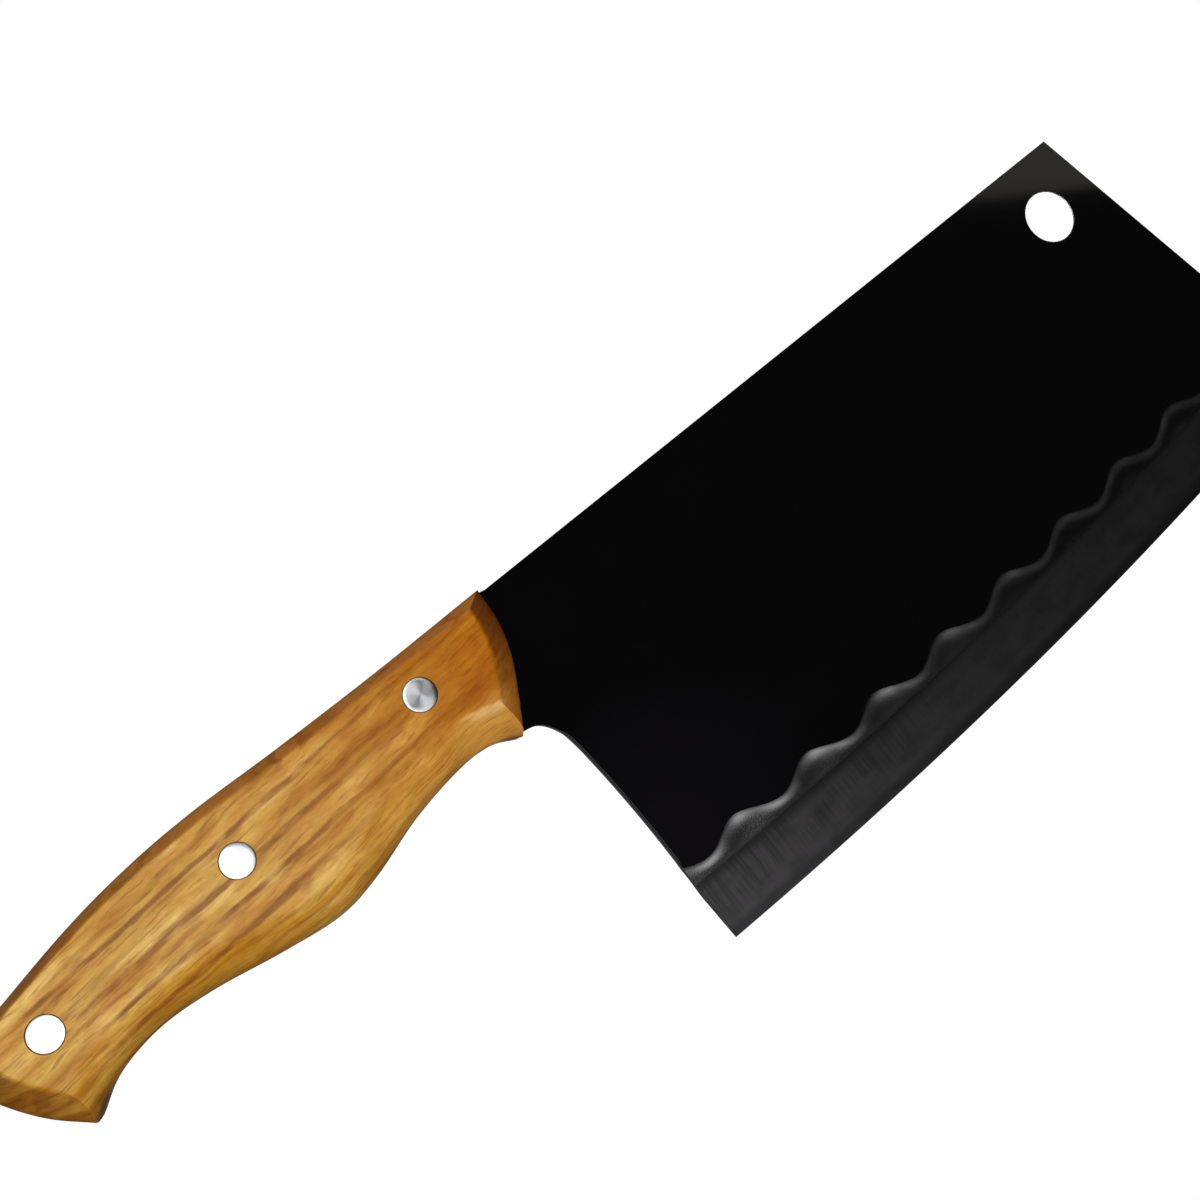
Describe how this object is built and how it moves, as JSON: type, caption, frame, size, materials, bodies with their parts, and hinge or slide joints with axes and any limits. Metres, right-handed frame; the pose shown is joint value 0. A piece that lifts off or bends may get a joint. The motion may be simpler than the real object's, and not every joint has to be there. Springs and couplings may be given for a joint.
{
  "type": "meat cleaver",
  "caption": "Rectangular kitchen cleaver: full-tang coated steel blade with a wavy ground bevel and hang hole, and a riveted wooden handle.",
  "frame": {"origin": "under the middle of the cleaver's outline, on the plane of the left scale's flat, which it lies on", "axes": "+X from the butt of the handle to the tip of the blade, +Y from the cutting edge to the spine, +Z from the left scale to the right scale"},
  "size_m": [0.2952, 0.0832, 0.019],
  "materials": {
    "coated_steel": "satin black coating, with a darkened ground bevel along the edge",
    "handle_wood": "varnished straight-grained hardwood with brown streaks",
    "rivet_steel": "fine turned"
  },
  "bodies": {
    "root": {"blade_and_tang": "coated_steel", "handle_scale_right": "handle_wood", "handle_scale_left": "handle_wood", "rivet_front_pin": "rivet_steel", "rivet_front_tube": "rivet_steel", "rivet_middle_pin": "rivet_steel", "rivet_middle_tube": "rivet_steel", "rivet_butt_pin": "rivet_steel", "rivet_butt_tube": "rivet_steel"}
  },
  "joints": []
}
